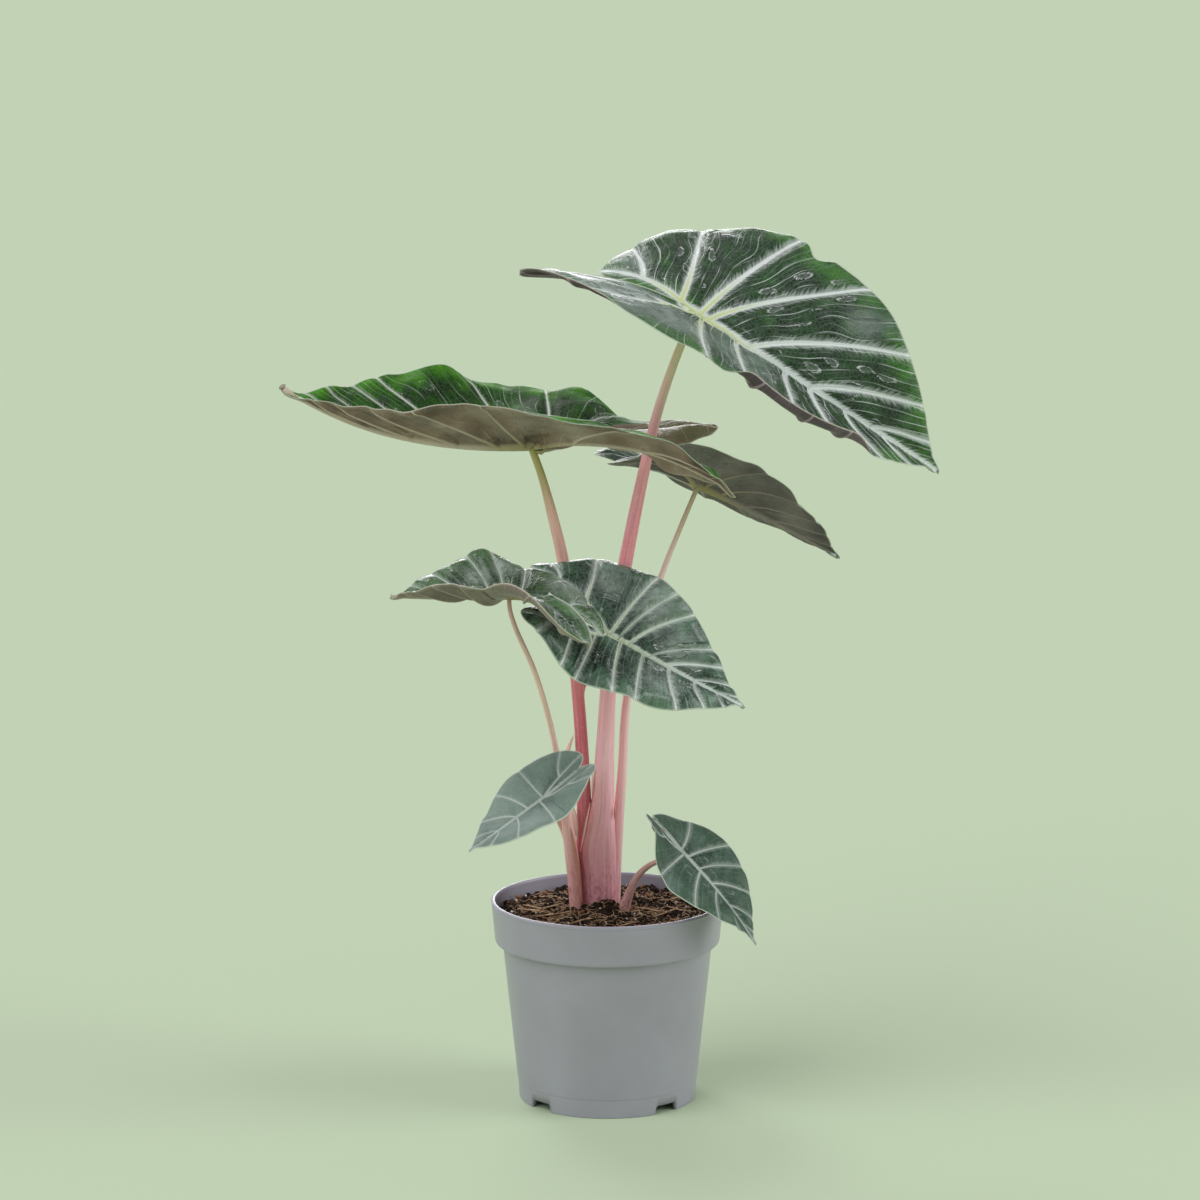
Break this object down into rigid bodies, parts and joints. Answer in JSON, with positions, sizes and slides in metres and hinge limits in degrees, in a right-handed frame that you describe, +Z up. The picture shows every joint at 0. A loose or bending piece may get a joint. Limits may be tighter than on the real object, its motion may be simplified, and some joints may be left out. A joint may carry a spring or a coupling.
{
  "type": "potted alocasia plant",
  "caption": "Potted pink dragon alocasia: veined arrow-shaped leaves on pink sheathing stalks, growing from potting mix in a round grey nursery pot.",
  "frame": {"origin": "on the surface that the pot stands on, under the middle of the plant's spread; the pot's axis is 9 mm behind it", "axes": "+Z up along the pot's axis; -Y is the pictured front; +X to the viewer's right, towards the tip of the highest leaf"},
  "size_m": [0.3273, 0.1659, 0.4464],
  "materials": {
    "pot_plastic": "satin moulded, slightly scuffed",
    "potting_mix": "crumbly and moist, with coir fibres",
    "rhizome": "dull bark-like skin",
    "stalk": "smooth, pink, faintly waxy",
    "blade_young": "glossy quilted green with pale veins, purple-brown beneath",
    "blade_old": "satin blue-green with pale veins, brown beneath"
  },
  "bodies": {
    "root": {"pot": "pot_plastic", "potting_mix": "potting_mix", "rhizome_and_roots": "rhizome", "stalk_top_right": "stalk", "stalk_top_left": "stalk", "stalk_back_right": "stalk", "stalk_middle_left": "stalk", "stalk_middle_right": "stalk", "stalk_low_left": "stalk", "stalk_low_right": "stalk", "blade_top_right": "blade_young", "blade_top_left": "blade_young", "blade_back_right": "blade_old", "blade_middle_left": "blade_old", "blade_middle_right": "blade_old", "blade_low_left": "blade_old", "blade_low_right": "blade_old"}
  },
  "joints": []
}
